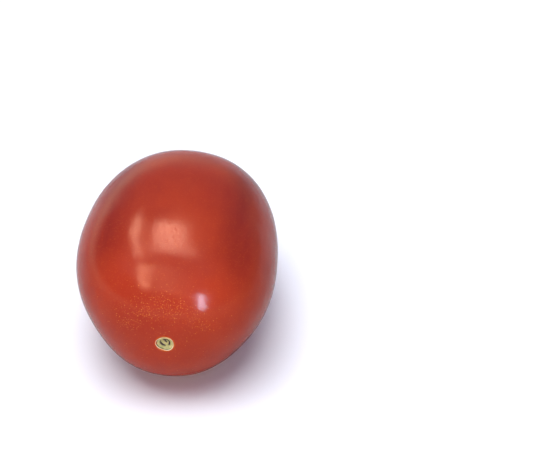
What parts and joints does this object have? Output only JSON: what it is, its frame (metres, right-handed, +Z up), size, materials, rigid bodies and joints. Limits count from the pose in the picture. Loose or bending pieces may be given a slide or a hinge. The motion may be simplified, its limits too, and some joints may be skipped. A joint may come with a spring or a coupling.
{
  "type": "plum tomato",
  "caption": "Ripe red plum tomato as picked, lying on its side, with a small corky scar where its stalk broke off.",
  "frame": {"origin": "bottom centre of the bounding box, on the surface that the tomato rests on", "axes": "+Y along the fruit from its stem end to its blossom end, +X to the right seen from the stem end, +Z up"},
  "size_m": [0.051, 0.071, 0.044],
  "materials": {
    "skin": "taut waxy red skin, softly glossy, with a fine grain and golden flecks near the stem end",
    "scar": "dry olive cream cork with darker broken vessels, matt"
  },
  "bodies": {
    "root": {"tomato": "skin"}
  },
  "joints": []
}
